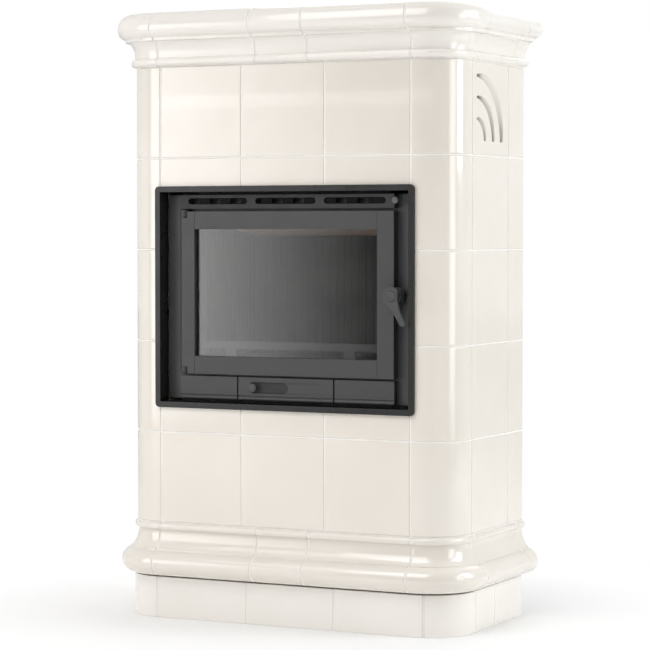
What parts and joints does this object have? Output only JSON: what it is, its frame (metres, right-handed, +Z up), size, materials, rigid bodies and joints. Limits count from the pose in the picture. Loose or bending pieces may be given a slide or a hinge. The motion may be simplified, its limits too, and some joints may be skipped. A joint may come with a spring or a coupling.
{
  "type": "tiled stove",
  "caption": "Free-standing wood stove: glazed ceramic tile casing with rounded corners and moulded crown and base round a steel insert with a glass door, ash drawer and air slides.",
  "frame": {"origin": "centre of the bounding box's bottom face, on the floor", "axes": "+Z up; -Y out of the front, where the door is; +X to the right as seen from the front"},
  "size_m": [0.969, 0.4746, 1.458],
  "materials": {
    "glaze": "cream glaze, glossy, with fine pale joints",
    "fireclay": "unglazed fired clay, matt",
    "satin_steel": "satin dark grey stove paint",
    "dark_steel": "matt black stove paint",
    "zinc_sheet": "bright zinc-coated sheet",
    "cast_iron": "raw dark cast iron",
    "vermiculite": "pressed vermiculite board, matt tan",
    "ceramic_glass": "clear heat-proof glass",
    "fibre_rope": "woven glass-fibre rope, grey"
  },
  "bodies": {
    "casing": {"corner_tile_1_right": "glaze", "corner_tile_1_left": "glaze", "front_tile_1_left": "glaze", "front_tile_1_centre": "glaze", "front_tile_1_right": "glaze", "corner_tile_2_right": "glaze", "corner_tile_2_left": "glaze", "front_tile_2_left": "glaze", "front_tile_2_centre": "glaze", "front_tile_2_right": "glaze", "corner_tile_3_right": "glaze", "corner_tile_3_left": "glaze", "corner_tile_4_right": "glaze", "corner_tile_4_left": "glaze", "front_tile_4_left": "glaze", "front_tile_4_centre": "glaze", "front_tile_4_right": "glaze", "corner_tile_5_right": "glaze", "corner_tile_5_left": "glaze", "front_tile_5_left": "glaze", "front_tile_5_centre": "glaze", "front_tile_5_right": "glaze", "side_tiles_right": "glaze", "side_tiles_left": "glaze", "vent_tile_right": "glaze", "vent_tile_left": "glaze", "crown_right": "glaze", "crown_left": "glaze", "crown_front": "glaze", "base_moulding_right": "glaze", "base_moulding_left": "glaze", "base_moulding_front": "glaze", "plinth": "glaze", "top_slab": "fireclay", "stand": "dark_steel", "rear_panel": "zinc_sheet", "trim_frame": "satin_steel", "front_plate": "satin_steel", "air_bar": "satin_steel", "lower_cover_right": "satin_steel", "lower_cover_left": "satin_steel", "firebox_shell": "dark_steel", "hearth_floor": "vermiculite", "grate": "cast_iron", "side_lining_right": "vermiculite", "side_lining_left": "vermiculite", "rear_lining": "vermiculite", "baffle": "vermiculite", "log_guard": "cast_iron", "hinge_pin_top": "dark_steel", "hinge_pin_bottom": "dark_steel"},
    "door": {"door_frame": "satin_steel", "door_glass": "ceramic_glass", "glass_retainer": "dark_steel", "rope_seal": "fibre_rope"},
    "handle": {"door_handle": "satin_steel", "latch_spindle": "dark_steel"},
    "drawer": {"ash_drawer": "satin_steel"},
    "primary_air": {"air_slide": "satin_steel"},
    "secondary_air": {"air_comb": "dark_steel"}
  },
  "joints": [
    {"name": "door_hinge", "type": "hinge", "parent": "casing", "child": "door", "pos_m": [-0.274, -0.17225, 0.787], "axis": [0, 0, -1], "range_deg": [0, 115]},
    {"name": "handle_turn", "type": "hinge", "parent": "door", "child": "handle", "pos_m": [0.29, -0.18275, 0.785], "axis": [0, -1, 0], "range_deg": [-12, 75]},
    {"name": "ash_drawer_slide", "type": "slide", "parent": "casing", "child": "drawer", "axis": [0, -1, 0], "range_m": [0, 0.22]},
    {"name": "primary_air_slide", "type": "slide", "parent": "drawer", "child": "primary_air", "axis": [1, 0, 0], "range_m": [0, 0.075]},
    {"name": "secondary_air_slide", "type": "slide", "parent": "casing", "child": "secondary_air", "axis": [1, 0, 0], "range_m": [0, 0.02]}
  ]
}
